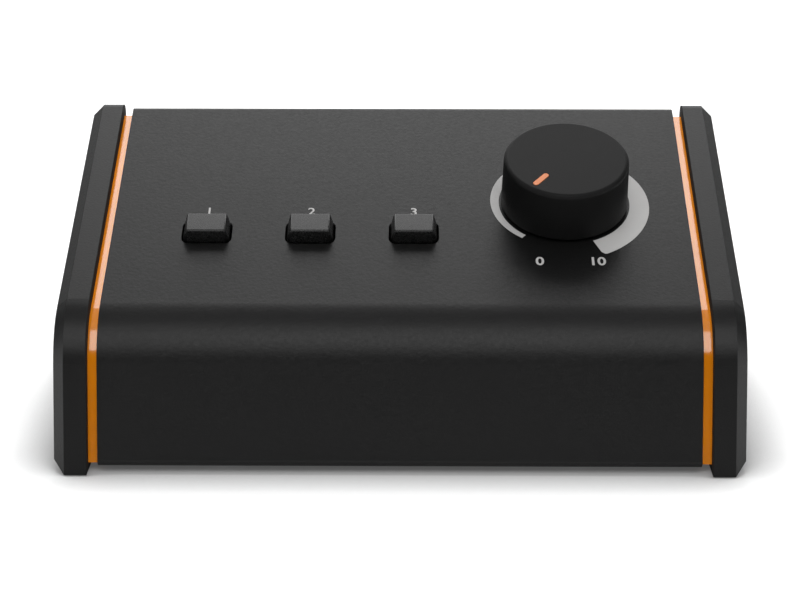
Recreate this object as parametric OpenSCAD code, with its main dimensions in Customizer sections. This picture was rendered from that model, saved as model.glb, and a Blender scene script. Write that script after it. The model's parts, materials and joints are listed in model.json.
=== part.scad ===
// Desktop studio monitor controller.
// X runs along the width, Y to the back and Z up. The origin is on the table,
// under the middle of the whole object.

/* [Overall] */
// Width over both cheeks
overall_w = 150; // [146:1:200]
// Height of the sleeve's underside above the table
sleeve_lift = 1.5; // [1.5:0.1:5]

/* [Side profile] */
// How far the front leans back from upright, in degrees
front_lean = 13; // [5:1:18]
// Slope of the top panel, in degrees
top_slope = 23; // [13:1:33]
// Outer radius of the large bend between front and top
bend_r = 16; // [14:0.5:24]
// Straight length of the front
front_len = 22.5; // [20.5:0.5:40]
// Straight length of the top panel
top_len = 71.8; // [68:0.1:100]
// Outer radius of the small bend between top and rear
rear_bend_r = 2.2; // [2:0.1:5]

/* [Sheet metal] */
// Thickness of the sleeve's sheet
sleeve_t = 1.2; // [0.8:0.1:2]
// Thickness of the chassis sheet
chassis_t = 1.2; // [0.8:0.1:2]
// Gap between chassis and sleeve
slide_gap = 0.15; // [0.1:0.05:0.4]
// Width of the lips that the sleeve turns in under the floor
lip_w = 12; // [9:0.5:18]

/* [Cheeks and spacers] */
// Thickness of a cheek
cheek_t = 7.4; // [6:0.1:9]
// Chamfer round a cheek's outer face
cheek_bevel = 2.5; // [0.5:0.1:2.8]
// How far a cheek stands proud of the sleeve
cheek_proud = 0.9; // [0.3:0.1:3]
// How far a cheek reaches below the sleeve
cheek_drop = 1.2; // [0.5:0.1:1.4]
// Thickness of a spacer plate
spacer_t = 2.2; // [1:0.1:4]
// How far a spacer lies behind the sleeve's outline
spacer_inset = 1.8; // [0.5:0.1:2]
// How far a spacer ends above the sleeve's underside
spacer_lift = 0.5; // [0:0.1:2]

/* [Knob] */
// Distance of the knob's axis from the middle of the width
knob_x = 37.4; // [30:0.1:45]
// Distance of the knob's axis up the top panel from the large bend
knob_s = 35.5; // [28:0.1:46]
// Diameter at the skirt
knob_d = 29; // [22:0.1:34]
// How much narrower the knob is at the top, in diameter
knob_taper = 0.7; // [0.2:0.1:3]
// Height of the knob's top above the panel
knob_h = 12.8; // [11.5:0.1:20]
// Gap between the skirt and the panel
knob_gap = 0.7; // [0.4:0.1:2]
// Radius of the rounded top rim
knob_rim_r = 1; // [0.5:0.1:3]
// Length of the pointer
pointer_l = 5; // [3:0.1:9]
// Width of the pointer
pointer_w = 1.3; // [0.6:0.1:2]
// Distance from the pointer's outer end to the knob's edge at the top
pointer_in = 1.75; // [1.2:0.05:3]
// Angle of the pointer at rest, clockwise from straight up the panel, in degrees
pointer_rest = -142; // [-150:1:0]

/* [Potentiometer] */
// Diameter of the shaft
shaft_d = 6; // [4:0.1:6.4]
// Radial running gap between shaft and bush
shaft_gap = 0.05; // [0.02:0.01:0.1]
// Outer diameter of the threaded bush
bush_d = 9; // [8:0.1:10]
// Diameter of the housing
pot_d = 17; // [14:0.1:20]
// Depth of the housing behind the panel
pot_depth = 11; // [9:0.5:12.5]

/* [Buttons] */
// Place of the left button across the width
first_button_x = -43.9; // [-48:0.1:-41]
// Distance from one button to the next
button_pitch = 23.4; // [20:0.1:25]
// Distance of the buttons up the top panel from the large bend
button_s = 24.4; // [20:0.1:40]
// Width of a cut-out in the panel
slot_w = 11.2; // [10:0.1:14]
// Length of a cut-out, up the panel
slot_l = 7.8; // [7.4:0.1:12]
// Corner radius of a cut-out
slot_r = 1.8; // [0.8:0.1:2.5]
// Gap round a cap in its cut-out
cap_gap = 0.3; // [0.2:0.05:0.6]
// Height of a cap above the panel
cap_h = 3.1; // [2.6:0.1:6]
// How much narrower a cap is at the top, on the left and on the right
cap_taper = 0.75; // [0.2:0.05:1.2]
// How much shorter a cap is at the top, at the front and at the back
cap_end_taper = 0.4; // [0.2:0.05:1.2]
// Travel of a button
button_travel = 2.2; // [1:0.1:2.4]

/* [Boards] */
// Thickness of a circuit board
board_t = 1.6; // [1:0.1:2]
// Depth of the control board's upper face below the panel's outer face
control_depth = 15; // [14.5:0.5:16.5]
// Height of the jack board's pillars
jack_pillar_h = 5; // [4:0.5:7]

/* [Sockets] */
// Bore of a large jack socket
jack_bore_d = 6.5; // [6.4:0.01:6.6]
// Diameter of a large jack socket's threaded nose
jack_nose_d = 11; // [9.5:0.1:12]
// Distance between neighbouring large sockets on one side
jack_pitch = 21; // [18:0.5:22.5]
// Distance of the inner large sockets from the middle
jack_first_x = 30; // [25:0.5:31]
// Bore of the small jack socket
mini_bore_d = 3.6; // [3.55:0.01:3.7]

/* [Hidden] */
$fn = 64;
// overlap of a cutting tool past the face that it cuts
cut = 1;
// a bend or round corner lies this far inside the flats beside it, and turns
// this many degrees into them, so that they join as one solid
seam = 0.02;
seam_turn = 2;
// the cut-in of a side outline stops short of a round corner's centre by this
// part of the corner's radius
notch = 0.02;

// Outline of the sleeve, seen from the right side: front bottom corner, large
// bend, small bend and rear. Angles are those of the outward normals.
sleeve_w = overall_w - 2 * (cheek_t + spacer_t);
front_normal = 180 - front_lean;
top_normal = 90 + top_slope;
big_turn = front_normal - top_normal;
rear_turn = top_normal;
// how far the sockets' noses stand out of the rear
rear_protrusion = 2.6;
raw_bend_y = front_len * sin(front_lean) + bend_r * cos(front_lean);
raw_top_y = raw_bend_y + bend_r * cos(top_normal) + top_len * cos(top_slope);
raw_rear_y = raw_top_y - rear_bend_r * cos(top_normal) + rear_bend_r;
raw_front_y = -cheek_proud / cos(front_lean) - cheek_drop * tan(front_lean);
// Sleeve
front_y = -(raw_front_y + raw_rear_y + rear_protrusion) / 2;
rear_y = front_y + raw_rear_y;
lip_bend_inner_r = 0.2;
lip_bend_r = sleeve_t + lip_bend_inner_r;
lip_turn = 90 + front_lean;
lip_tangent = lip_bend_r * tan(lip_turn / 2);
bend_c = [front_y + raw_bend_y, sleeve_lift + front_len * cos(front_lean) - bend_r * sin(front_lean)];
panel_at = bend_c + bend_r * normal(top_normal);
rear_c = panel_at + top_len * [cos(top_slope), sin(top_slope)] - rear_bend_r * normal(top_normal);
rear_inner_y = rear_y - sleeve_t;
front_lip_y = front_y + (lip_tangent + lip_w) / 2;
rear_lip_y = rear_y - (lip_bend_r + lip_w) / 2;

// Chassis
chassis_off = -(sleeve_t + slide_gap);
floor_z = sleeve_lift + sleeve_t;
floor_top = floor_z + chassis_t;
wall_nick = 2;
inside_x = sleeve_w / 2 - chassis_t;

// Screws: shank radius, clearance round a shank, and gap in a tapped hole
screw_r = 1.5;
screw_clear = 0.2;
tap_gap = 0.05;
head_r = 2.7;
head_h = 1.3;
// a screw head's free end has this part of the radius at its seat
head_taper = 0.8;
cheek_screw_in = 5;
nut_boss_r = 3;
nut_boss_h = 2.4;
floor_screw_in = 27;
floor_screw_x = sleeve_w / 2 - floor_screw_in;
foot_r = 4.4;
foot_taper = 0.35;
foot_side_in = 15;
foot_lip_gap = 1.6;
foot_x = sleeve_w / 2 - foot_side_in;
foot_in = lip_w + foot_r + foot_lip_gap;
// places of the cheek screws in the side profile
cheek_screw_at = [
    [front_y + 15, sleeve_lift + 11],
    [rear_y - 12, sleeve_lift + 36],
    [rear_y - 34, sleeve_lift + 22]
];

// Knob, shaft and potentiometer, as heights above the panel's outer face
knob_top_r = (knob_d - knob_taper) / 2;
pointer_r = knob_top_r - pointer_in;
shaft_r = shaft_d / 2;
bush_r = bush_d / 2;
bush_top = 4.2;
washer_r = bush_r + 1.6;
washer_t = 0.5;
pot_nut_r = bush_r + 2.4;
pot_nut_h = 2.2;
hub_gap = 0.8;
hub_bottom = bush_top + hub_gap;
hub_wall = 2;
hub_r = shaft_r + hub_wall;
knob_wall = 2.6;
knob_roof = 2.4;
shaft_in = 1.8;
shaft_top = knob_h - shaft_in;
shaft_flat = shaft_r / 2;
flat_bottom = hub_bottom;
bore_gap = 0.04;
pointer_depth = 0.6;
pointer_raise = 0.05;
can_t = 1;
can_bottom = -sleeve_t - pot_depth;
rotor_depth = 5;
rotor_top = -sleeve_t - rotor_depth;
rotor_t = 1.6;
rotor_gap = 0.5;
rotor_key = [2, 1.5];
// places of the terminals about the shaft
pot_terminal_at = [for (x = [-5, 0, 5], s = [-4, 4]) [x, s]];

// Buttons, as heights above the panel's outer face
button_x = [for (i = [0 : 2]) first_button_x + i * button_pitch];
cap_w = slot_w - 2 * cap_gap;
cap_l = slot_l - 2 * cap_gap;
cap_edge_r = 0.45;
flange_gap = 0.3;
flange_top = -sleeve_t - flange_gap;
flange_t = 0.8;
flange_rim = 1;
boss_h = 2.2;
boss_bottom = flange_top - flange_t - boss_h;
boss_r = 2.7;
plunger_w = 3;
plunger_top = flange_top;
plunger_grip = 0.05;
plunger_gap = 0.3;
boss_clear = 0.4;
switch_top = boss_bottom - button_travel - boss_clear;
switch_w = 8.4;
switch_bore = plunger_w + 2 * plunger_gap;
plunger_in = 2.6;
plunger_bottom = switch_top - plunger_in;
// places of the pins under a switch, about its axis
switch_pin_at = [for (x = [-2.5, 2.5], s = [-2.5, 0, 2.5]) [x, s]];

// Boards
board_low = -control_depth - board_t;
board_side_gap = 5.2;
board_x = inside_x - board_side_gap;
board_s = [8, 60];
pillar_r = 2.8;
pillar_edge = 4;
pillar_in = 4;
jack_pillar_in = 3;
screw_end_gap = 0.5;
board_screw_r = 1.25;
board_head_r = 2.2;
board_head_h = 1.4;
control_pillar_at = [
    for (x = [-1, 1], s = [board_s[0] + pillar_edge, board_s[1] - pillar_edge])
        [x * (board_x - pillar_edge), s]
];
pin_w = 0.7;
pin_gap = 0.15;
pin_out = 1.6;
jack_board_z = floor_top + jack_pillar_h;
jack_board_top = jack_board_z + board_t;
jack_board_l = 32.5;
jack_board_gap = 0.5;
jack_board_y = [rear_inner_y - jack_board_gap - jack_board_l, rear_inner_y - jack_board_gap];
rear_pillar_x = 14;
rear_pillar_in = 6;
jack_pillar_at = [
    for (side = [-1, 1]) each [
        [side * (board_x - pillar_edge), jack_board_y[0] + pillar_edge],
        [side * rear_pillar_x, rear_inner_y - rear_pillar_in]
    ]
];

// Sockets
jack_x = [-jack_first_x - jack_pitch, -jack_first_x, jack_first_x, jack_first_x + jack_pitch];
jack_body = [15.6, 24, 15];
jack_bore_l = 26;
jack_z = jack_board_top + jack_body[2] / 2;
jack_nut_h = 2;
jack_nut_r = 8;
mini_body = [7, 12, 6];
mini_z = jack_board_top + mini_body[2] / 2;
mini_nose_r = 3;
mini_nut_r = 4.2;
mini_bore_l = 13;
nose_l = sleeve_t + rear_protrusion;
// places of the pins under a large socket and under the small one, measured
// from the socket's axis and from the rear sheet's inner face
jack_pin_at = [for (x = [-5, 5], y = [-20, -10]) [x, y]];
mini_pin_at = [for (x = [-2, 2], y = [-9, -4]) [x, y]];
board_jack_pins = concat(
    [for (x = jack_x, p = jack_pin_at) [x + p[0], rear_inner_y + p[1]]],
    [for (p = mini_pin_at) [p[0], rear_inner_y + p[1]]]
);

// Ribbon cable
ribbon_w = 12;
ribbon_t = 1;
ribbon_r = 12;
ribbon_end = 3;
header = [15, 5, 5];
ribbon_x = (button_x[1] + button_x[2]) / 2;
header_low = board_low - header[2];
ribbon_in = 28;
ribbon_foot = [rear_inner_y - ribbon_in, jack_board_top + header[2]];
ribbon_foot_w = (ribbon_foot[1] - panel_at[1]) * cos(top_slope)
    - (ribbon_foot[0] - panel_at[0]) * sin(top_slope);
ribbon_rise = (header_low - ribbon_foot_w - ribbon_r * sin(top_slope) - ribbon_end) / cos(top_slope);
ribbon_head = [
    ribbon_foot[0] - ribbon_r * (1 - cos(top_slope)) - ribbon_end * sin(top_slope),
    ribbon_foot[1] + ribbon_rise + ribbon_r * sin(top_slope) + ribbon_end * cos(top_slope)
];
header_s = (ribbon_head[0] - panel_at[0]) * cos(top_slope)
    + (ribbon_head[1] - panel_at[1]) * sin(top_slope);

// Resistors of the attenuator
resistor_r = 1.1;
resistor_l = 6;
resistor_lead_r = 0.3;
resistor_foot_w = 0.7;
resistor_span = 9;
resistor_gap = 0.2;
resistor_count = 8;
resistor_pitch = 4;
resistor_first_s = 13;
resistor_x = (button_x[2] + switch_w / 2 + knob_x - pot_d / 2) / 2;
resistor_s = [for (i = [0 : resistor_count - 1]) resistor_first_s + resistor_pitch * i];

black = "#242424";
orange = "#e0761a";
steel = "#a9adb0";
green = "#2c5a3c";

// Unit vector at an angle in the plane of the side profile
function normal(angle) = [cos(angle), sin(angle)];

// Front face at a height, for an outline that lies off outside the sleeve's
function front_at(off, z) = front_y - off / cos(front_lean) + (z - sleeve_lift) * tan(front_lean);

// Side outline, cut in to near the centres of its two round corners
function side_core(off, low, nick) = concat(
    nick > 0
        ? [[front_at(off, low) + nick, low], [front_at(off, low + nick), low + nick]]
        : [[front_at(off, low), low]],
    [
        bend_c + (bend_r + off) * normal(front_normal),
        bend_c + (bend_r + off) * notch * normal((front_normal + top_normal) / 2),
        bend_c + (bend_r + off) * normal(top_normal),
        rear_c + (rear_bend_r + off) * normal(top_normal),
        rear_c + (rear_bend_r + off) * notch * normal(top_normal / 2),
        rear_c + [rear_bend_r + off, 0]
    ],
    nick > 0 ? [[rear_y + off, low + nick], [rear_y + off - nick, low]] : [[rear_y + off, low]]
);

// Points of an arc about a centre
function arc(c, r, from, to, steps) = [
    for (i = [0 : steps]) c + r * normal(from + (to - from) * i / steps)
];

// Outline of a rectangle with round corners
function round_box(w, l, r) = concat(
    arc([w / 2 - r, l / 2 - r], r, 0, 90, 5),
    arc([r - w / 2, l / 2 - r], r, 90, 180, 5),
    arc([r - w / 2, r - l / 2], r, 180, 270, 5),
    arc([w / 2 - r, r - l / 2], r, 270, 360, 5)
);

// Turns a drawing of the side profile, X to the back and Y up, along the width
module along_width() {
    rotate([90, 0, 90]) children();
}

// Frame on the top panel's outer face: X across, Y up the slope, Z outwards
module on_panel(x, s) {
    translate([x, panel_at[0], panel_at[1]])
    rotate([top_slope, 0, 0])
    translate([0, s, 0])
    children();
}

// Mirrors a piece that is drawn for the right side onto the left side
module on_side(side) {
    mirror([side < 0 ? 1 : 0, 0, 0]) children();
}

// Sheet that is folded from run to run. Each run is a straight length, the
// turn after it and the outer radius of that turn. The outer face is at y = 0.
module folded_sheet(runs, sheet, width, i = 0) {
    len_i = runs[i][0];
    turn = runs[i][1];
    r = runs[i][2];
    translate([0, -sheet, 0]) cube([len_i, sheet, width]);
    if (turn > 0) {
        translate([len_i, -r, 0]) {
            rotate_extrude(angle = turn + 2 * seam_turn, start = 90 - turn - seam_turn, $fn = 128)
            translate([r - sheet + seam, 0])
            square([sheet - 2 * seam, width]);
            if (i + 1 < len(runs)) {
                rotate([0, 0, -turn])
                translate([0, r, 0])
                folded_sheet(runs, sheet, width, i + 1);
            }
        }
    }
}

// 45 degree cut along the outer edge from a to b of a plate of thickness t
module bevel_cut(a, b, t, bevel) {
    run = b - a;
    translate([a[0], a[1], 0])
    rotate([0, 0, atan2(run[1], run[0])])
    translate([-cut, 0, 0])
    rotate([90, 0, 90])
    linear_extrude(norm(run) + 2 * cut)
    polygon([[-bevel - cut, t + cut], [cut, t - bevel - cut], [cut, t + cut]]);
}

// Round corner of a side plate, with the bevel on its outer edge
module plate_corner(c, r, from, to, t, bevel) {
    out = r - seam;
    inset = bevel + seam * (sqrt(2) - 1);
    translate([c[0], c[1], 0])
    rotate_extrude(angle = to - from + 2 * seam_turn, start = from - seam_turn, $fn = 128)
    polygon(
        bevel > 0
            ? [[0, 0], [out, 0], [out, t - inset], [out - inset, t], [0, t]]
            : [[0, 0], [out, 0], [out, t], [0, t]]
    );
}

// Plate with the object's side outline, its inner face at z = 0
module side_plate(t, off, low, bevel = 0, nick = 0) {
    core = side_core(off, low, nick);
    n = len(core);
    first = nick > 0 ? 1 : 0;
    difference() {
        linear_extrude(t) polygon(core);
        if (bevel > 0) {
            bevel_cut(core[first], core[first + 1], t, bevel);
            bevel_cut(core[first + 3], core[first + 4], t, bevel);
            bevel_cut(core[first + 6], core[first + 7], t, bevel);
            bevel_cut(core[n - 1], core[0], t, bevel);
        }
    }
    plate_corner(bend_c, bend_r + off, top_normal, front_normal, t, bevel);
    plate_corner(rear_c, rear_bend_r + off, 0, top_normal, t, bevel);
}

// Holes of the cheek screws in a side plate, from z = low to z = high
module cheek_screw_holes(r, low, high) {
    for (p = cheek_screw_at) translate([p[0], p[1], low]) cylinder(r = r, h = high - low);
}

// Screw with its shank along +Z from the seat of its head at z = 0
module screw(shank_r, shank_l, r, h) {
    cylinder(r = shank_r, h = shank_l);
    translate([0, 0, -h]) cylinder(r1 = r * head_taper, r2 = r, h = h);
}

// Places on the two lips, at a distance from the middle of the width
module on_lips(x) {
    for (side = [-1, 1], y = [front_lip_y, rear_lip_y]) translate([side * x, y, 0]) children();
}

// Frame of a socket: Z points out of the rear, from the sheet's inner face
module at_rear(x, z) {
    translate([x, rear_inner_y, z]) rotate([-90, 0, 0]) children();
}

module sleeve() {
    rear_run = rear_c[1] - sleeve_lift - lip_bend_r;
    color(black)
    difference() {
        intersection() {
            along_width()
            translate([front_y + lip_w, sleeve_lift, -sleeve_w / 2 - cut])
            rotate([0, 0, 180])
            folded_sheet([
                [lip_w - lip_tangent, lip_turn, lip_bend_r],
                [front_len - lip_tangent, big_turn, bend_r],
                [top_len, rear_turn, rear_bend_r],
                [rear_run, 90, lip_bend_r],
                [lip_w - lip_bend_r, 0, 0]
            ], sleeve_t, sleeve_w + 2 * cut);
            translate([-sleeve_w / 2, front_y - cut, 0])
                cube([sleeve_w, rear_y - front_y + 2 * cut, rear_c[1] + rear_bend_r + cut]);
        }
        on_panel(knob_x, knob_s) translate([0, 0, -sleeve_t - cut])
            cylinder(r = bush_r + screw_clear, h = sleeve_t + 2 * cut);
        for (x = button_x) on_panel(x, button_s) translate([0, 0, -sleeve_t - cut])
            linear_extrude(sleeve_t + 2 * cut) polygon(round_box(slot_w, slot_l, slot_r));
        for (x = jack_x) at_rear(x, jack_z) translate([0, 0, -cut])
            cylinder(r = jack_nose_d / 2 + screw_clear, h = sleeve_t + 2 * cut);
        at_rear(0, mini_z) translate([0, 0, -cut])
            cylinder(r = mini_nose_r + screw_clear, h = sleeve_t + 2 * cut);
        on_lips(floor_screw_x) translate([0, 0, sleeve_lift - cut])
            cylinder(r = screw_r + screw_clear, h = sleeve_t + 2 * cut);
    }
}

module chassis() {
    front = front_at(chassis_off, floor_z) + wall_nick;
    rear = rear_y + chassis_off - wall_nick;
    color(steel)
    difference() {
        union() {
            translate([-sleeve_w / 2, front, floor_z]) cube([sleeve_w, rear - front, chassis_t]);
            for (side = [-1, 1]) on_side(side)
                translate([inside_x, 0, 0]) along_width()
                side_plate(chassis_t, chassis_off, floor_z, 0, wall_nick);
            on_lips(floor_screw_x) translate([0, 0, floor_z])
                cylinder(r = nut_boss_r, h = chassis_t + nut_boss_h);
        }
        for (side = [-1, 1]) on_side(side) translate([inside_x, 0, 0]) along_width()
            cheek_screw_holes(screw_r + screw_clear, -cut, chassis_t + cut);
        on_lips(floor_screw_x) translate([0, 0, floor_z - cut])
            cylinder(r = screw_r + tap_gap, h = chassis_t + nut_boss_h + 2 * cut);
    }
}

module cheek(side) {
    color(black)
    on_side(side)
    translate([overall_w / 2 - cheek_t, 0, 0])
    along_width()
    difference() {
        side_plate(cheek_t, cheek_proud, sleeve_lift - cheek_drop, cheek_bevel);
        cheek_screw_holes(screw_r + tap_gap, -cut, cheek_screw_in);
    }
}

module spacer(side) {
    color(orange)
    on_side(side)
    translate([sleeve_w / 2, 0, 0])
    along_width()
    difference() {
        side_plate(spacer_t, -spacer_inset, sleeve_lift + spacer_lift);
        cheek_screw_holes(screw_r + screw_clear, -cut, spacer_t + cut);
    }
}

module left_cheek() { cheek(-1); }
module right_cheek() { cheek(1); }
module left_spacer() { spacer(-1); }
module right_spacer() { spacer(1); }

module cheek_screws() {
    length = chassis_t + spacer_t + cheek_screw_in - screw_end_gap;
    color(steel)
    for (side = [-1, 1], p = cheek_screw_at)
        on_side(side)
        translate([inside_x, p[0], p[1]])
        rotate([0, 90, 0])
        screw(screw_r, length, head_r, head_h);
}

module floor_screws() {
    color(steel)
    on_lips(floor_screw_x)
    translate([0, 0, sleeve_lift])
    screw(screw_r, sleeve_t + chassis_t + nut_boss_h, head_r, head_h);
}

module feet() {
    color("#101010")
    for (side = [-1, 1], y = [front_y + foot_in, rear_y - foot_in])
        translate([side * foot_x, y, 0])
        cylinder(r1 = foot_r - foot_taper, r2 = foot_r, h = floor_z);
}

// Shaft with its flat, wider by extra all round and longer by extra at the top
module d_shaft(low, extra) {
    difference() {
        translate([0, 0, low]) cylinder(r = shaft_r + extra, h = shaft_top + extra - low);
        translate([shaft_flat + extra, -shaft_r - cut, flat_bottom])
            cube([shaft_r, 2 * (shaft_r + cut), shaft_top]);
    }
}

// Bar with round ends that points from the knob's axis to its rim
module pointer_bar(low, high, extra) {
    mid = pointer_r - pointer_l / 2;
    r = pointer_w / 2 + extra;
    half = pointer_l / 2 - pointer_w / 2;
    rotate([0, 0, -pointer_rest])
    translate([0, mid, low])
    linear_extrude(high - low)
    polygon(concat(arc([0, half], r, 0, 180, 10), arc([0, -half], r, 180, 360, 10)));
}

module level_knob() {
    skirt_r = knob_d / 2;
    lean = atan2(skirt_r - knob_top_r, knob_h - knob_gap);
    rim_c = [knob_top_r - knob_rim_r / cos(lean) + knob_rim_r * tan(lean), knob_h - knob_rim_r];
    cavity_r = skirt_r - knob_wall;
    color(black)
    on_panel(knob_x, knob_s)
    difference() {
        rotate_extrude($fn = 128)
        polygon(concat(
            [[0, hub_bottom], [hub_r, hub_bottom], [hub_r, knob_h - knob_roof],
             [cavity_r, knob_h - knob_roof], [cavity_r, knob_gap], [skirt_r, knob_gap]],
            arc(rim_c, knob_rim_r, lean, 90, 8),
            [[0, knob_h]]
        ));
        d_shaft(hub_bottom - cut, bore_gap);
        pointer_bar(knob_h - pointer_depth, knob_h + cut, bore_gap);
    }
}

module knob_pointer() {
    color(orange)
    on_panel(knob_x, knob_s)
    pointer_bar(knob_h - pointer_depth, knob_h + pointer_raise, 0);
}

module pot_shaft() {
    color(steel)
    on_panel(knob_x, knob_s)
    d_shaft(can_bottom + rotor_gap, 0);
}

module pot_rotor() {
    color("#caa860")
    on_panel(knob_x, knob_s)
    difference() {
        union() {
            translate([0, 0, rotor_top - rotor_t])
                cylinder(r = pot_d / 2 - can_t - rotor_gap, h = rotor_t);
            translate([0, 0, can_bottom + rotor_gap])
                cylinder(r = hub_r, h = rotor_top - can_bottom);
            translate([-rotor_key[0] / 2, hub_r - cut, can_bottom + rotor_gap])
                cube([rotor_key[0], rotor_key[1] + cut, rotor_top - can_bottom - cut]);
        }
        translate([0, 0, can_bottom]) cylinder(r = shaft_r + bore_gap, h = pot_depth);
    }
}

module pot_bush() {
    color("#c9a45a")
    on_panel(knob_x, knob_s)
    difference() {
        translate([0, 0, -sleeve_t - can_t]) cylinder(r = bush_r, h = bush_top + sleeve_t + can_t);
        translate([0, 0, -sleeve_t - can_t - cut])
            cylinder(r = shaft_r + shaft_gap, h = bush_top + sleeve_t + can_t + 2 * cut);
    }
}

module pot_housing() {
    color(steel)
    on_panel(knob_x, knob_s)
    difference() {
        translate([0, 0, can_bottom]) cylinder(d = pot_d, h = pot_depth);
        translate([0, 0, can_bottom - cut]) cylinder(r = pot_d / 2 - can_t, h = pot_depth - can_t + cut);
        translate([0, 0, -sleeve_t - can_t - cut]) cylinder(r = bush_r + bore_gap, h = can_t + 2 * cut);
    }
}

module pot_wafer() {
    color("#8c6f3f")
    on_panel(knob_x, knob_s)
    translate([0, 0, -control_depth])
    cylinder(d = pot_d, h = can_bottom + control_depth);
}

module pot_terminals() {
    color(steel)
    on_panel(knob_x, knob_s)
    for (p = pot_terminal_at) board_pin(p);
}

// Square pin through the control board, and the hole that it stands in
module board_pin(p) {
    translate([p[0] - pin_w / 2, p[1] - pin_w / 2, board_low - pin_out])
        cube([pin_w, pin_w, board_t + pin_out]);
}
module board_pin_hole(p) {
    w = pin_w + 2 * pin_gap;
    translate([p[0] - w / 2, p[1] - w / 2, board_low - cut]) cube([w, w, board_t + 2 * cut]);
}

module pot_washer() {
    color(steel)
    on_panel(knob_x, knob_s)
    difference() {
        cylinder(r = washer_r, h = washer_t);
        translate([0, 0, -cut]) cylinder(r = bush_r + screw_clear, h = washer_t + 2 * cut);
    }
}

module pot_nut() {
    color(steel)
    on_panel(knob_x, knob_s)
    translate([0, 0, washer_t])
    difference() {
        cylinder(r = pot_nut_r, h = pot_nut_h, $fn = 6);
        translate([0, 0, -cut]) cylinder(r = bush_r + tap_gap, h = pot_nut_h + 2 * cut);
    }
}

// Outline of a cap from the front or from the side, with its round top edges
function cap_profile(half, taper) = concat(
    arc([half - taper - cap_edge_r, cap_h - cap_edge_r], cap_edge_r, 0, 90, 5),
    arc([-(half - taper - cap_edge_r), cap_h - cap_edge_r], cap_edge_r, 90, 180, 5),
    [[-half, 0], [-half, flange_top - flange_t / 2], [half, flange_top - flange_t / 2], [half, 0]]
);

module button_cap(i) {
    flange_low = flange_top - flange_t;
    color("#1b1b1b")
    on_panel(button_x[i], button_s)
    difference() {
        union() {
            intersection() {
                translate([0, cap_l, 0]) rotate([90, 0, 0])
                    linear_extrude(2 * cap_l) polygon(cap_profile(cap_w / 2, cap_taper));
                translate([-cap_w, 0, 0]) rotate([90, 0, 90])
                    linear_extrude(2 * cap_w) polygon(cap_profile(cap_l / 2, cap_end_taper));
                translate([0, 0, flange_low])
                    linear_extrude(cap_h - flange_low + cut)
                    polygon(round_box(cap_w, cap_l, slot_r - cap_gap));
            }
            translate([-cap_w / 2 - flange_rim, -cap_l / 2 - flange_rim, flange_low])
                cube([cap_w + 2 * flange_rim, cap_l + 2 * flange_rim, flange_t]);
            translate([0, 0, boss_bottom]) cylinder(r = boss_r, h = flange_low - boss_bottom + flange_t / 2);
        }
        plunger_bar(boss_bottom - cut, plunger_top + plunger_grip, plunger_w + 2 * plunger_grip);
    }
}

module button_cap_left() { button_cap(0); }
module button_cap_middle() { button_cap(1); }
module button_cap_right() { button_cap(2); }

// Square bar on a switch's axis
module plunger_bar(low, high, w) {
    translate([-w / 2, -w / 2, low]) cube([w, w, high - low]);
}

module plunger(i) {
    color("#e8e4d8")
    on_panel(button_x[i], button_s)
    plunger_bar(plunger_bottom, plunger_top, plunger_w);
}

module plunger_left() { plunger(0); }
module plunger_middle() { plunger(1); }
module plunger_right() { plunger(2); }

module switch_body(i) {
    color("#30343a")
    on_panel(button_x[i], button_s)
    difference() {
        plunger_bar(-control_depth, switch_top, switch_w);
        plunger_bar(plunger_bottom - button_travel - plunger_gap, switch_top + cut, switch_bore);
    }
}

module switch_left() { switch_body(0); }
module switch_middle() { switch_body(1); }
module switch_right() { switch_body(2); }

module switch_pins() {
    color(steel)
    for (x = button_x, p = switch_pin_at) on_panel(x, button_s) board_pin(p);
}

module control_board() {
    color(green)
    difference() {
        on_panel(0, 0) translate([-board_x, board_s[0], board_low])
            cube([2 * board_x, board_s[1] - board_s[0], board_t]);
        for (x = button_x, p = switch_pin_at) on_panel(x, button_s) board_pin_hole(p);
        for (p = pot_terminal_at) on_panel(knob_x, knob_s) board_pin_hole(p);
        for (p = control_pillar_at) on_panel(p[0], p[1]) translate([0, 0, board_low - cut])
            cylinder(r = board_screw_r + screw_clear, h = board_t + 2 * cut);
    }
}

module control_pillars() {
    color(steel)
    for (p = control_pillar_at) on_panel(p[0], p[1]) translate([0, 0, -control_depth])
        difference() {
            cylinder(r = pillar_r, h = control_depth - sleeve_t, $fn = 6);
            translate([0, 0, -cut]) cylinder(r = board_screw_r + tap_gap, h = pillar_in + cut);
        }
}

module control_screws() {
    color(steel)
    for (p = control_pillar_at) on_panel(p[0], p[1]) translate([0, 0, board_low])
        screw(board_screw_r, board_t + pillar_in - screw_end_gap, board_head_r, board_head_h);
}

module resistors() {
    rise = resistor_r + resistor_gap;
    color("#4f86b8")
    for (s = resistor_s) on_panel(resistor_x, s) translate([0, 0, -control_depth + rise]) {
        rotate([0, 90, 0]) cylinder(r = resistor_r, h = resistor_l, center = true);
        rotate([0, 90, 0]) cylinder(r = resistor_lead_r, h = resistor_span, center = true);
        for (side = [-1, 1])
            translate([side * resistor_span / 2 - resistor_foot_w / 2, -resistor_foot_w / 2, -rise])
            cube([resistor_foot_w, resistor_foot_w, rise + resistor_foot_w / 2]);
    }
}

module jack_board() {
    w = pin_w + 2 * pin_gap;
    color(green)
    difference() {
        translate([-board_x, jack_board_y[0], jack_board_z])
            cube([2 * board_x, jack_board_y[1] - jack_board_y[0], board_t]);
        for (p = board_jack_pins) translate([p[0] - w / 2, p[1] - w / 2, jack_board_z - cut])
            cube([w, w, board_t + 2 * cut]);
        for (p = jack_pillar_at) translate([p[0], p[1], jack_board_z - cut])
            cylinder(r = board_screw_r + screw_clear, h = board_t + 2 * cut);
    }
}

module jack_pins() {
    color(steel)
    for (p = board_jack_pins) translate([p[0] - pin_w / 2, p[1] - pin_w / 2, jack_board_z - pin_out])
        cube([pin_w, pin_w, board_t + pin_out]);
}

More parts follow.
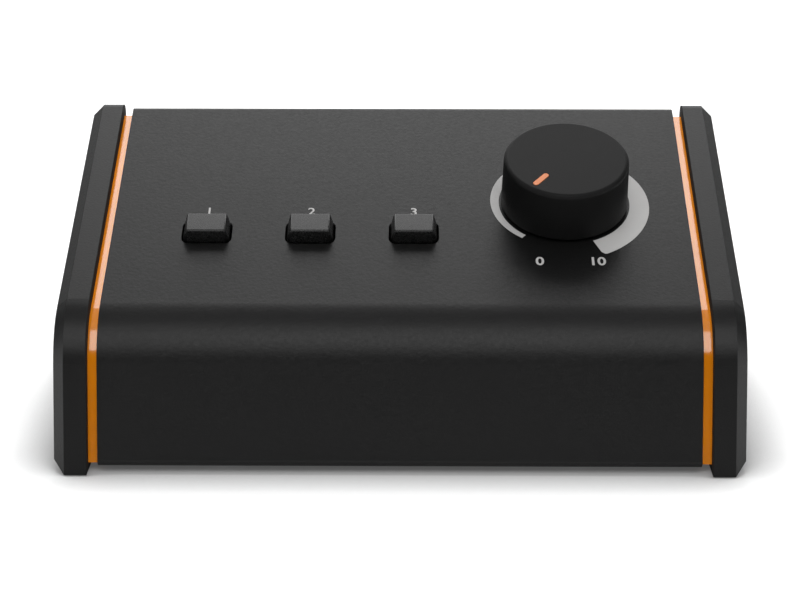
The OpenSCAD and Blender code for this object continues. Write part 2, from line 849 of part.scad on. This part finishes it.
module jack_pillars() {
    color(steel)
    for (p = jack_pillar_at) translate([p[0], p[1], floor_top])
        difference() {
            cylinder(r = pillar_r, h = jack_pillar_h, $fn = 6);
            translate([0, 0, jack_pillar_h - jack_pillar_in])
                cylinder(r = board_screw_r + tap_gap, h = jack_pillar_in + cut);
        }
}

module jack_board_screws() {
    color(steel)
    for (p = jack_pillar_at) translate([p[0], p[1], jack_board_top]) mirror([0, 0, 1])
        screw(board_screw_r, board_t + jack_pillar_in - screw_end_gap, board_head_r, board_head_h);
}

// Socket with a block on the board, a round nose through the rear and a blind
// bore from the nose's end
module socket(body, nose_r, bore_r, bore_l) {
    difference() {
        union() {
            translate([-body[0] / 2, -body[2] / 2, -body[1]]) cube([body[0], body[2], body[1]]);
            cylinder(r = nose_r, h = nose_l);
        }
        translate([0, 0, nose_l - bore_l]) cylinder(r = bore_r, h = bore_l + cut);
    }
}

module jack(i) {
    color("#1d1d1d")
    at_rear(jack_x[i], jack_z)
    socket(jack_body, jack_nose_d / 2, jack_bore_d / 2, jack_bore_l);
}

module input_jack_left() { jack(3); }
module input_jack_right() { jack(2); }
module output_jack_left() { jack(1); }
module output_jack_right() { jack(0); }

module mini_jack() {
    color("#1d1d1d")
    at_rear(0, mini_z)
    socket(mini_body, mini_nose_r, mini_bore_d / 2, mini_bore_l);
}

module jack_nuts() {
    color(steel)
    for (x = jack_x) at_rear(x, jack_z) translate([0, 0, sleeve_t])
        difference() {
            cylinder(r = jack_nut_r, h = jack_nut_h, $fn = 6);
            translate([0, 0, -cut]) cylinder(r = jack_nose_d / 2 + tap_gap, h = jack_nut_h + 2 * cut);
        }
}

module mini_jack_nut() {
    color(steel)
    at_rear(0, mini_z) translate([0, 0, sleeve_t])
    difference() {
        cylinder(r = mini_nut_r, h = jack_nut_h);
        translate([0, 0, -cut]) cylinder(r = mini_nose_r + tap_gap, h = jack_nut_h + 2 * cut);
    }
}

module ribbon_cable() {
    color("#9a9ea3")
    translate([ribbon_x - ribbon_w / 2, 0, 0])
    along_width()
    translate([ribbon_foot[0] + ribbon_t / 2, ribbon_foot[1], 0])
    rotate([0, 0, 90])
    ribbon_path();
}

// The ribbon rises along X and then leans towards Y
module ribbon_path() {
    cube([ribbon_rise, ribbon_t, ribbon_w]);
    translate([ribbon_rise, ribbon_r + ribbon_t / 2, 0]) {
        rotate_extrude(angle = top_slope + 2 * seam_turn, start = 270 - seam_turn)
            translate([ribbon_r - ribbon_t / 2 + seam, 0]) square([ribbon_t - 2 * seam, ribbon_w]);
        rotate([0, 0, top_slope]) translate([0, -ribbon_r - ribbon_t / 2, 0])
            cube([ribbon_end, ribbon_t, ribbon_w]);
    }
}

module ribbon_headers() {
    color("#1d1d1d") {
        on_panel(ribbon_x, header_s) translate([-header[0] / 2, -header[1] / 2, header_low])
            cube(header);
        translate([ribbon_x - header[0] / 2, ribbon_foot[0] - header[1] / 2, jack_board_top])
            cube(header);
    }
}

sleeve();
chassis();
left_cheek();
right_cheek();
left_spacer();
right_spacer();
level_knob();
knob_pointer();
pot_shaft();
pot_rotor();
pot_bush();
pot_housing();
pot_wafer();
pot_terminals();
pot_washer();
pot_nut();
button_cap_left();
button_cap_middle();
button_cap_right();
plunger_left();
plunger_middle();
plunger_right();
switch_left();
switch_middle();
switch_right();
switch_pins();
control_board();
control_pillars();
control_screws();
resistors();
jack_board();
jack_pillars();
jack_board_screws();
input_jack_left();
input_jack_right();
output_jack_left();
output_jack_right();
mini_jack();
jack_nuts();
mini_jack_nut();
jack_pins();
ribbon_cable();
ribbon_headers();
cheek_screws();
floor_screws();
feet();
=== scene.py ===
import json
import math

import bmesh
import bpy
from mathutils import Matrix, Vector

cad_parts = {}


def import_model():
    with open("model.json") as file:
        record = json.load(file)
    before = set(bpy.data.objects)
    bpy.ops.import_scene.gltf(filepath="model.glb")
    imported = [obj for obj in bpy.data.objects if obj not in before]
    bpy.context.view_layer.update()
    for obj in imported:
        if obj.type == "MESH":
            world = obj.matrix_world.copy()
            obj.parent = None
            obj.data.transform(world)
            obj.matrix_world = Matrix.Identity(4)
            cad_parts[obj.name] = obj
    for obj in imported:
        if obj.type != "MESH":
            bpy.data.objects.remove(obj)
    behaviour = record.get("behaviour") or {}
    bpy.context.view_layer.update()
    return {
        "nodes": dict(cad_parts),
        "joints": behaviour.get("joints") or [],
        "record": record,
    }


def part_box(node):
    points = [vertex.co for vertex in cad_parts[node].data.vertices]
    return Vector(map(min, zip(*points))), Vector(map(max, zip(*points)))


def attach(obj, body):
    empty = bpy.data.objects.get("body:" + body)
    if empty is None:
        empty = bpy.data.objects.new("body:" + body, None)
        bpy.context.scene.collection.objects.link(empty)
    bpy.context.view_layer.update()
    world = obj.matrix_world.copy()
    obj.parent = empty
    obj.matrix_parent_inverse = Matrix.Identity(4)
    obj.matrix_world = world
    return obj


MM = 0.001

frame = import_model()
nodes = frame["nodes"]
joints = {joint["name"]: joint for joint in frame["joints"]}

# Frame of the top panel: its outward normal and the way up its slope come from
# the knob's axis, which stands square on the panel.
KNOB_AXIS = Vector(joints["level_turn"]["pos_m"])
OUTWARD = -Vector(joints["level_turn"]["axis"]).normalized()
ACROSS = Vector((1, 0, 0))
UPHILL = OUTWARD.cross(ACROSS)


# ---------------------------------------------------------------- materials

# Fine noise lies mostly between these two values
NOISE_LOW = 0.3
NOISE_HIGH = 0.7
# Size of the slow change of colour, and how far the grain changes the roughness
SLOW_MM = 14.0
LESS_ROUGH = 0.04
MORE_ROUGH = 0.05


def empty_material(name):
    """A new material, its node tree and its output, with no shader yet."""
    mat = bpy.data.materials.new(name)
    mat.use_nodes = True
    tree = mat.node_tree
    tree.nodes.clear()
    return mat, tree, tree.nodes.new("ShaderNodeOutputMaterial")


def math_node(tree, operation, first, second=None):
    """Result of a math operation on one or two linked values."""
    node = tree.nodes.new("ShaderNodeMath")
    node.operation = operation
    tree.links.new(first, node.inputs[0])
    if second is not None:
        tree.links.new(second, node.inputs[1])
    return node.outputs["Value"]


def map_range(tree, value, span, result):
    """Linked value, spread from one range onto another."""
    node = tree.nodes.new("ShaderNodeMapRange")
    node.inputs["From Min"].default_value, node.inputs["From Max"].default_value = span
    node.inputs["To Min"].default_value, node.inputs["To Max"].default_value = result
    tree.links.new(value, node.inputs["Value"])
    return node.outputs["Result"]


def diffuse(tree, tone):
    """Matt grey shader of a brightness."""
    shader = tree.nodes.new("ShaderNodeBsdfDiffuse")
    shader.inputs["Color"].default_value = (tone, tone, tone, 1)
    return shader.outputs["BSDF"]


def object_coordinates(tree, stretch=(1, 1, 1)):
    """Object coordinates in millimetres, stretched along each axis."""
    place = tree.nodes.new("ShaderNodeTexCoord")
    scale = tree.nodes.new("ShaderNodeMapping")
    scale.inputs["Scale"].default_value = [s / MM for s in stretch]
    tree.links.new(place.outputs["Object"], scale.inputs["Vector"])
    return scale.outputs["Vector"]


def noise(tree, coordinates, size_mm, detail, roughness):
    """Noise whose blobs are about size_mm wide."""
    node = tree.nodes.new("ShaderNodeTexNoise")
    node.inputs["Scale"].default_value = 1.0 / size_mm
    node.inputs["Detail"].default_value = detail
    node.inputs["Roughness"].default_value = roughness
    tree.links.new(coordinates, node.inputs["Vector"])
    return node.outputs["Fac"]


def ramp(tree, value, low, high):
    """Noise value, spread from its usual range onto low to high."""
    return map_range(tree, value, (NOISE_LOW, NOISE_HIGH), (low, high))


def two_tone(tree, value, first, second):
    """Blend of two colours by a noise value."""
    node = tree.nodes.new("ShaderNodeMix")
    node.data_type = "RGBA"
    node.inputs["A"].default_value = (*first, 1)
    node.inputs["B"].default_value = (*second, 1)
    tree.links.new(ramp(tree, value, 0, 1), node.inputs["Factor"])
    return node.outputs["Result"]


def bump(tree, height, depth_mm):
    """Normal of a bumpy surface whose bumps are depth_mm high."""
    node = tree.nodes.new("ShaderNodeBump")
    node.inputs["Distance"].default_value = depth_mm * MM
    tree.links.new(height, node.inputs["Height"])
    return node.outputs["Normal"]


def surface(name, colour, rough, grain_mm, depth_mm, metallic=0.0, specular=0.5,
            shade=0.86, coat=0.0, stretch=(1, 1, 1)):
    """A material with a slow change of colour and roughness and a fine grain."""
    mat, tree, output = empty_material(name)
    shader = tree.nodes.new("ShaderNodeBsdfPrincipled")
    tree.links.new(shader.outputs["BSDF"], output.inputs["Surface"])
    place = object_coordinates(tree, stretch)
    slow = noise(tree, place, SLOW_MM, detail=4.0, roughness=0.5)
    fine = noise(tree, place, grain_mm, detail=2.0, roughness=0.6)
    darker = [c * shade for c in colour]
    tree.links.new(two_tone(tree, slow, darker, colour), shader.inputs["Base Color"])
    roughness = ramp(tree, fine, rough - LESS_ROUGH, rough + MORE_ROUGH)
    tree.links.new(roughness, shader.inputs["Roughness"])
    tree.links.new(bump(tree, fine, depth_mm), shader.inputs["Normal"])
    shader.inputs["Metallic"].default_value = metallic
    shader.inputs["Specular IOR Level"].default_value = specular
    shader.inputs["Coat Weight"].default_value = coat
    return mat


def srgb(red, green, blue):
    """Linear colour from 0 to 255 display values."""
    def linear(value):
        value /= 255
        return value / 12.92 if value <= 0.04045 else ((value + 0.055) / 1.055) ** 2.4
    return [linear(v) for v in (red, green, blue)]


# Colour, roughness, and the size and depth of the grain in millimetres
MATERIALS = {
    "sleeve_paint": surface("sleeve_paint", srgb(9, 9, 9), 0.4, 0.8, 0.035, specular=0.28),
    "cheek_paint": surface("cheek_paint", srgb(9, 9, 9), 0.38, 0.5, 0.03, specular=0.28),
    "spacer_orange": surface("spacer_orange", srgb(250, 146, 12), 0.13, 0.6, 0.003, specular=0.92,
                             coat=0.5),
    "knob_black": surface("knob_black", srgb(13, 13, 13), 0.5, 0.25, 0.006, specular=0.13),
    "pointer_orange": surface("pointer_orange", srgb(196, 110, 54), 0.35, 0.3, 0.004),
    "cap_black": surface("cap_black", srgb(4, 4, 4), 0.27, 0.25, 0.003, specular=0.4),
    "switch_plastic": surface("switch_plastic", srgb(52, 55, 60), 0.5, 0.4, 0.01),
    "plunger_plastic": surface("plunger_plastic", srgb(226, 222, 208), 0.45, 0.4, 0.01),
    "zinc_steel": surface("zinc_steel", srgb(190, 194, 198), 0.32, 0.5, 0.006, metallic=1.0,
                          shade=0.8, stretch=(1, 1, 0.2)),
    "chassis_steel": surface("chassis_steel", srgb(186, 190, 194), 0.36, 0.5, 0.008,
                             metallic=1.0, shade=0.8, stretch=(0.15, 1, 1)),
    "nut_nickel": surface("nut_nickel", srgb(172, 170, 165), 0.28, 0.4, 0.004, metallic=1.0),
    "bush_brass": surface("bush_brass", srgb(212, 178, 108), 0.3, 0.4, 0.004, metallic=1.0),
    "wafer_board": surface("wafer_board", srgb(150, 118, 70), 0.6, 0.5, 0.015),
    "board_green": surface("board_green", srgb(34, 96, 60), 0.35, 1.2, 0.01, coat=0.3),
    "resistor_blue": surface("resistor_blue", srgb(92, 146, 196), 0.35, 0.6, 0.01),
    "socket_black": surface("socket_black", srgb(34, 34, 35), 0.42, 0.4, 0.01),
    "ribbon_grey": surface("ribbon_grey", srgb(152, 156, 160), 0.55, 0.5, 0.01),
    "foot_rubber": surface("foot_rubber", srgb(24, 24, 24), 0.75, 0.3, 0.03, specular=0.3),
}
PRINT_GREY = surface("print_grey", srgb(172, 171, 170), 0.55, 0.3, 0.004, specular=0.3)


# Just past the cheeks' inner walls, counted from the middle, and how much rougher
# those bare walls are than the painted faces outside them
CHEEK_WALL_MM = 67.7
WALL_BLEND_MM = 0.1
WALL_EXTRA_ROUGH = 0.5


def matt_inside(mat):
    """Roughens the cheeks' bare inner walls."""
    tree = mat.node_tree
    shader = next(n for n in tree.nodes if n.type == "BSDF_PRINCIPLED")
    split = tree.nodes.new("ShaderNodeSeparateXYZ")
    tree.links.new(object_coordinates(tree), split.inputs["Vector"])
    side = math_node(tree, "ABSOLUTE", split.outputs["X"])
    span = (CHEEK_WALL_MM, CHEEK_WALL_MM + WALL_BLEND_MM)
    extra = map_range(tree, side, span, (WALL_EXTRA_ROUGH, 0.0))
    painted = shader.inputs["Roughness"].links[0].from_socket
    tree.links.new(math_node(tree, "ADD", painted, extra), shader.inputs["Roughness"])


matt_inside(MATERIALS["cheek_paint"])


def dress(obj, mat):
    """Gives an object one material."""
    obj.data.materials.clear()
    obj.data.materials.append(mat)


for part in frame["record"]["subparts"]:
    dress(nodes[part["node"]], MATERIALS[part["material_slot"]])


# ------------------------------------------------------- edges of CAD pieces

# The CAD outlines have steps of 0.02 mm that would catch a rounded edge, so points
# this near are joined, faces this flat become one, and edges this sharp are rounded
JOIN_MM = 0.03
FLAT_DEG = 0.5
SHARP_DEG = 38


def soften(names, width_mm, segments):
    """Rounds the sharp edges of CAD nodes a little, as a real edge is."""
    for name in names:
        node = nodes[name]
        joined = node.modifiers.new("joined_corners", "WELD")
        joined.merge_threshold = JOIN_MM * MM
        plain = node.modifiers.new("plain_faces", "DECIMATE")
        plain.decimate_type = "DISSOLVE"
        plain.angle_limit = math.radians(FLAT_DEG)
        edge = node.modifiers.new("soft_edge", "BEVEL")
        edge.width = width_mm * MM
        edge.segments = segments
        edge.limit_method = "ANGLE"
        edge.angle_limit = math.radians(SHARP_DEG)
        edge.use_clamp_overlap = False
        node.modifiers.new("even_normals", "WEIGHTED_NORMAL")


# ------------------------------------------------------------- mesh building

def mesh_object(name, verts, faces, mat):
    """A new flat-shaded mesh object from points in metres, in the part's frame."""
    mesh = bpy.data.meshes.new(name)
    mesh.from_pydata([tuple(v) for v in verts], [], faces)
    mesh.update()
    made = bmesh.new()
    made.from_mesh(mesh)
    bmesh.ops.recalc_face_normals(made, faces=made.faces)
    made.to_mesh(mesh)
    made.free()
    obj = bpy.data.objects.new(name, mesh)
    bpy.context.scene.collection.objects.link(obj)
    dress(obj, mat)
    return obj


def middle(low, high):
    """Centre of a box, in metres."""
    return (low + high) / 2


def on_panel(x, uphill, out):
    """Point on the panel, in millimetres from the knob's axis."""
    return KNOB_AXIS + (ACROSS * x + UPHILL * uphill + OUTWARD * out) * MM


# --------------------------------------------------------- print on the panel

# Lengths in millimetres, angles in degrees clockwise from the way uphill
PRINT_T = 0.03
CRESCENT_INNER_R = 15.0
CRESCENT_FROM = -142
CRESCENT_TO = 157
CRESCENT_THIN_R = 16.35
CRESCENT_THICK_R = 20.4
# The band widens a little faster towards its thick end
CRESCENT_GROWTH = 1.12
CRESCENT_END_ROUND = 1.1
CRESCENT_STEPS = 240


def crescent_outer(share, angle):
    """Outer radius of the band, in millimetres, with its thick end rounded."""
    outer = CRESCENT_THIN_R + (CRESCENT_THICK_R - CRESCENT_THIN_R) * share ** CRESCENT_GROWTH
    from_end = (math.radians(CRESCENT_TO) - angle) * CRESCENT_THICK_R
    inside = max(0.0, CRESCENT_END_ROUND - from_end)
    return outer - CRESCENT_END_ROUND + math.sqrt(CRESCENT_END_ROUND ** 2 - inside ** 2)


def crescent():
    """Printed band round the knob that widens clockwise."""
    verts = []
    for layer in (0, PRINT_T):
        for i in range(CRESCENT_STEPS + 1):
            share = i / CRESCENT_STEPS
            angle = math.radians(CRESCENT_FROM + (CRESCENT_TO - CRESCENT_FROM) * share)
            outer = crescent_outer(share, angle)
            for radius in (CRESCENT_INNER_R, outer):
                verts.append(on_panel(radius * math.sin(angle), radius * math.cos(angle), layer))
    row = 2 * (CRESCENT_STEPS + 1)
    faces = []
    for i in range(CRESCENT_STEPS):
        a = 2 * i
        faces.append((a, a + 1, a + 3, a + 2))
        faces.append((row + a, row + a + 2, row + a + 3, row + a + 1))
        faces.append((a, a + 2, row + a + 2, row + a))
        faces.append((a + 1, row + a + 1, row + a + 3, a + 3))
    faces.append((0, row, row + 1, 1))
    end = 2 * CRESCENT_STEPS
    faces.append((end, end + 1, row + end + 1, row + end))
    obj = mesh_object("level_crescent", verts, faces, PRINT_GREY)
    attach(obj, "case")


BUTTONS = ["button_cap_left", "button_cap_middle", "button_cap_right"]
BUTTON_LABEL_RISE = 7.3
BUTTON_LABEL_H = 2.5
BUTTON_LABEL_BOLD = 0.04
KNOB_LABEL_DROP = -21.2
KNOB_LABEL_REACH = 6.4
KNOB_LABEL_H = 2.7
KNOB_LABEL_BOLD = 0.09
# Height of a figure as a share of the font's size
FIGURE_H = 0.7


def numeral(name, figures, x, uphill, height, bold):
    """Plain printed number, centred at a point of the panel. Lengths in millimetres."""
    curve = bpy.data.curves.new(name, "FONT")
    curve.body = figures
    curve.align_x = "CENTER"
    curve.align_y = "CENTER"
    curve.size = height / FIGURE_H * MM
    curve.offset = bold * MM
    curve.extrude = PRINT_T / 2 * MM
    flat = bpy.data.objects.new(name + "_curve", curve)
    bpy.context.scene.collection.objects.link(flat)
    bpy.context.view_layer.update()
    mesh = bpy.data.meshes.new_from_object(flat)
    bpy.data.objects.remove(flat)
    place = Matrix((
        (*ACROSS, 0),
        (*UPHILL, 0),
        (*OUTWARD, 0),
        (0, 0, 0, 1),
    )).transposed()
    place.translation = on_panel(x, uphill, PRINT_T / 2)
    mesh.transform(place)
    obj = bpy.data.objects.new(name, mesh)
    bpy.context.scene.collection.objects.link(obj)
    dress(obj, PRINT_GREY)
    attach(obj, "case")


def numbers():
    """Numbers over the buttons and at both ends of the knob's scale."""
    for i, cap in enumerate(BUTTONS):
        low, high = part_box(cap)
        centre = middle(low, high) - KNOB_AXIS
        x = centre.dot(ACROSS) / MM
        uphill = centre.dot(UPHILL) / MM + BUTTON_LABEL_RISE
        numeral("number_%d" % (i + 1), str(i + 1), x, uphill, BUTTON_LABEL_H, BUTTON_LABEL_BOLD)
    for name, figures, x in (("scale_low", "0", -KNOB_LABEL_REACH),
                             ("scale_high", "10", KNOB_LABEL_REACH)):
        numeral(name, figures, x, KNOB_LABEL_DROP, KNOB_LABEL_H, KNOB_LABEL_BOLD)


# ------------------------------------------------- small parts of bought items

LARGE_SOCKETS = ["input_jack_left", "input_jack_right", "output_jack_left", "output_jack_right"]
# Lengths in millimetres. A leaf's start is measured from the end of the nose.
LEAF_STEPS = 16
LEAF_T = 0.25
LEAF_BULGE = 0.9
LEAF_GAP = 0.05
LARGE_BORE_R = 3.25
LARGE_LEAF_W = 2.2
TIP_LEAF = (15.0, 8.0)
RING_LEAF = (7.0, 7.0)
SMALL_BORE_R = 1.8
SMALL_LEAF_W = 1.2
SMALL_LEAF = (4.5, 5.0)


def leaf_spring(name, node, angle, reach, bore_r, width):
    """Contact leaf that bulges into a socket's bore; reach is its start and length."""
    low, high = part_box(node)
    centre = middle(low, high)
    centre.y = high.y
    start, length = reach
    verts = []
    for i in range(LEAF_STEPS + 1):
        share = i / LEAF_STEPS
        outer = bore_r - LEAF_GAP - LEAF_BULGE * math.sin(math.pi * share)
        depth = start + length * share
        for radius in (outer, outer - LEAF_T):
            for side in (-0.5, 0.5):
                out = Vector((math.sin(angle), 0, math.cos(angle))) * radius
                across = Vector((math.cos(angle), 0, -math.sin(angle))) * width * side
                verts.append(centre + (out + across - Vector((0, depth, 0))) * MM)
    faces = [(0, 1, 3, 2)]
    for i in range(LEAF_STEPS):
        a = 4 * i
        b = a + 4
        faces += [(a, b, b + 1, a + 1), (a + 2, a + 3, b + 3, b + 2),
                  (a, a + 2, b + 2, b), (a + 1, b + 1, b + 3, a + 3)]
    end = 4 * LEAF_STEPS
    faces.append((end, end + 2, end + 3, end + 1))
    obj = mesh_object(name, verts, faces, MATERIALS["nut_nickel"])
    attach(obj, "case")


def socket_contacts():
    """Two leaves in each large socket and one in the small one."""
    for node in LARGE_SOCKETS:
        leaf_spring(node + "_tip_leaf", node, 0.0, TIP_LEAF, LARGE_BORE_R, LARGE_LEAF_W)
        leaf_spring(node + "_ring_leaf", node, math.pi, RING_LEAF, LARGE_BORE_R, LARGE_LEAF_W)
    leaf_spring("mini_jack_leaf", "mini_jack", 0.0, SMALL_LEAF, SMALL_BORE_R, SMALL_LEAF_W)


# Lengths in millimetres
CROSS_REACH = 1.3
CROSS_ARM = 0.6
CROSS_T = 0.03


def cross_recess_shade(name, place):
    """Painted shade of a cross recess: a thin dark cross on a screw's head, seen from below."""
    half = CROSS_ARM / 2
    outline = []
    for quarter in range(4):
        turn = Matrix.Rotation(quarter * math.pi / 2, 2)
        for point in ((half, -CROSS_REACH), (half, -half)):
            outline.append(turn @ Vector(point))
    verts = [place + Vector((p.x, p.y, z)) * MM for z in (-CROSS_T, 0) for p in outline]
    count = len(outline)
    faces = [tuple(range(count)), tuple(range(count, 2 * count))]
    for i in range(count):
        j = (i + 1) % count
        faces.append((i, j, count + j, count + i))
    # Painted shade: the black cross stands for the shade down in the recess
    obj = mesh_object(name, verts, faces, MATERIALS["socket_black"])
    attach(obj, "case")


SAME_POINT_MM = 0.001


def islands(node):
    """Boxes of a node's separate solids, as pairs of lowest and highest corner."""
    made = bmesh.new()
    made.from_mesh(nodes[node].data)
    bmesh.ops.remove_doubles(made, verts=made.verts, dist=SAME_POINT_MM * MM)
    left = set(made.verts)
    boxes = []
    while left:
        queue = [left.pop()]
        points = []
        while queue:
            vert = queue.pop()
            points.append(vert.co.copy())
            for edge in vert.link_edges:
                other = edge.other_vert(vert)
                if other in left:
                    left.remove(other)
                    queue.append(other)
        boxes.append((
            Vector([min(p[i] for p in points) for i in range(3)]),
            Vector([max(p[i] for p in points) for i in range(3)]),
        ))
    made.free()
    return sorted(boxes, key=lambda box: (round(box[0].x, 5), round(box[0].y, 5)))


def screw_recess_shades():
    """Painted shade of the cross recess in each screw under the floor."""
    for i, (low, high) in enumerate(islands("floor_screws")):
        place = middle(low, high)
        place.z = low.z
        cross_recess_shade("screw_recess_%d" % (i + 1), place)


crescent()
numbers()
socket_contacts()
screw_recess_shades()

# Nodes, the width of their rounded edges in millimetres, and the facets across it
ROUNDED = (
    (["sleeve"], 0.15, 2),
    (["chassis"], 0.1, 2),
    (BUTTONS, 0.35, 3),
    (["level_knob"], 0.15, 3),
    (["jack_nuts", "mini_jack_nut", "pot_nut"], 0.25, 2),
    (["feet"], 0.3, 3),
    (LARGE_SOCKETS, 0.25, 2),
)
for rounded in ROUNDED:
    soften(*rounded)


# -------------------------------------------------------------------- stage

# The floor looks pale to the camera, with a painted contact shadow right under the object: its
# tone follows how open it is within CONTACT_REACH, and a faint even glow lifts its darkest shade.
# Lengths in metres.
FLOOR_HALF = 6.0
CONTACT_REACH = 0.016
COVERED = 0.5
OPEN = 0.97
CONTACT_TONE = 0.35
OPEN_TONE = 1.0
FLOOR_GLOW = 0.08
# As a light, floor and world have strengths of their own
FLOOR_AS_LIGHT = 0.6
WORLD_AS_LIGHT = 1.6
WORLD_AS_SEEN = 1.0


def show(tree, output, unseen, seen):
    """Shows seen to the camera, in gloss and through glass, and unseen to the rest."""
    path = tree.nodes.new("ShaderNodeLightPath")
    direct = math_node(tree, "MAXIMUM", path.outputs["Is Camera Ray"],
                       path.outputs["Is Glossy Ray"])
    any_view = math_node(tree, "MAXIMUM", direct, path.outputs["Is Transmission Ray"])
    mix = tree.nodes.new("ShaderNodeMixShader")
    tree.links.new(any_view, mix.inputs["Fac"])
    tree.links.new(unseen, mix.inputs[1])
    tree.links.new(seen, mix.inputs[2])
    tree.links.new(mix.outputs["Shader"], output.inputs["Surface"])


def floor():
    """Wide pale floor that stays white to the camera and in reflections, with a painted contact
    shadow under the object.
    """
    half = FLOOR_HALF
    verts = [(-half, -half, 0), (half, -half, 0), (half, half, 0), (-half, half, 0)]
    mat, tree, output = empty_material("floor_white")
    seen = tree.nodes.new("ShaderNodeBsdfDiffuse")
    # Painted contact shadow: the seen floor is darker where the object closes it in
    contact = tree.nodes.new("ShaderNodeAmbientOcclusion")
    contact.inputs["Distance"].default_value = CONTACT_REACH
    openness = contact.outputs["AO"]
    tone = map_range(tree, openness, (COVERED, OPEN), (CONTACT_TONE, OPEN_TONE))
    tree.links.new(tone, seen.inputs["Color"])
    # A faint glow, though the floor is no lamp, lifts its darkest painted shade for the camera
    glow = tree.nodes.new("ShaderNodeEmission")
    glow.inputs["Strength"].default_value = FLOOR_GLOW
    pale = tree.nodes.new("ShaderNodeAddShader")
    tree.links.new(seen.outputs["BSDF"], pale.inputs[0])
    tree.links.new(glow.outputs["Emission"], pale.inputs[1])
    show(tree, output, diffuse(tree, FLOOR_AS_LIGHT), pale.outputs["Shader"])
    mesh_object("floor", verts, [(0, 1, 2, 3)], mat)


def world():
    """White to the camera and in reflections, brighter as a light."""
    made = bpy.data.worlds.new("studio")
    bpy.context.scene.world = made
    made.use_nodes = True
    tree = made.node_tree
    tree.nodes.clear()
    output = tree.nodes.new("ShaderNodeOutputWorld")
    skies = []
    for strength in (WORLD_AS_LIGHT, WORLD_AS_SEEN):
        sky = tree.nodes.new("ShaderNodeBackground")
        sky.inputs["Color"].default_value = (1, 1, 1, 1)
        sky.inputs["Strength"].default_value = strength
        skies.append(sky.outputs["Background"])
    show(tree, output, *skies)


LAMP_AIM = Vector((0, 0, 0.03))
# Each lamp's place and size in metres and its strength in watts
LAMPS = {
    "back_softbox": ((0.0, 0.786, 0.95), 0.7, 3.15),
    "front_softbox": ((0.0, -0.82, 0.91), 0.82, 3.9),
}


def lamp(name, place, size, watts):
    """Square soft light at place, aimed at the object."""
    data = bpy.data.lights.new(name, "AREA")
    data.shape = "SQUARE"
    data.size = size
    data.energy = watts
    obj = bpy.data.objects.new(name, data)
    obj.location = place
    obj.rotation_mode = "QUATERNION"
    obj.rotation_quaternion = (LAMP_AIM - Vector(place)).to_track_quat("-Z", "Y")
    bpy.context.scene.collection.objects.link(obj)


BLACK = 0.01
PALE = 0.6
# Each card's lowest and highest corner in metres and its brightness
FLAGS = {
    "front_flag": ((-1.1, -0.75, 0.03), (1.1, -0.75, 0.44), BLACK),
    "top_flag": ((-0.6, -0.43, 1.0), (0.6, 0.41, 1.0), PALE),
    "left_flag": ((-1.1, -0.2, 0.12), (-1.1, 1.5, 0.9), BLACK),
    "right_flag": ((1.1, -0.2, 0.12), (1.1, 1.5, 0.9), BLACK),
}


def flag(name, low, high, tone):
    """Card that shades a part of the studio. The camera doesn't see it."""
    mat, tree, output = empty_material(name)
    tree.links.new(diffuse(tree, tone), output.inputs["Surface"])
    # The card spans the two axes along which its corners differ
    first, second = [i for i in range(3) if low[i] != high[i]]
    corners = [list(low) for _ in range(4)]
    for i in (1, 2):
        corners[i][first] = high[first]
    for i in (2, 3):
        corners[i][second] = high[second]
    card = mesh_object(name, corners, [(0, 1, 2, 3)], mat)
    card.visible_camera = False


# Camera of the photograph: its place in metres and the ways it looks
CAMERA_PLACE = Vector((0.003575, -0.484743, 0.179217))
CAMERA_RIGHT = Vector((0.99996807, 0.00798721, 0.00024266))
CAMERA_DOWN = Vector((0.00263322, -0.30069437, -0.95371692))
CAMERA_AHEAD = Vector((-0.00754455, 0.95368711, -0.3007058))
FOCAL_PIXELS = 2200
IMAGE_WIDTH = 800
SENSOR_MM = 36


def camera():
    """Camera at the photograph's angle."""
    data = bpy.data.cameras.new("camera")
    data.sensor_width = SENSOR_MM
    data.lens = FOCAL_PIXELS / IMAGE_WIDTH * SENSOR_MM
    data.clip_start = 0.01
    data.clip_end = 100
    obj = bpy.data.objects.new("camera", data)
    place = Matrix((
        (*CAMERA_RIGHT, 0),
        (*(-CAMERA_DOWN), 0),
        (*(-CAMERA_AHEAD), 0),
        (0, 0, 0, 1),
    )).transposed()
    place.translation = CAMERA_PLACE
    obj.matrix_world = place
    bpy.context.scene.collection.objects.link(obj)
    bpy.context.scene.camera = obj


floor()
world()
for softbox, setting in LAMPS.items():
    lamp(softbox, *setting)
for card_name, setting in FLAGS.items():
    flag(card_name, *setting)
camera()

bpy.context.scene.view_settings.view_transform = "Standard"
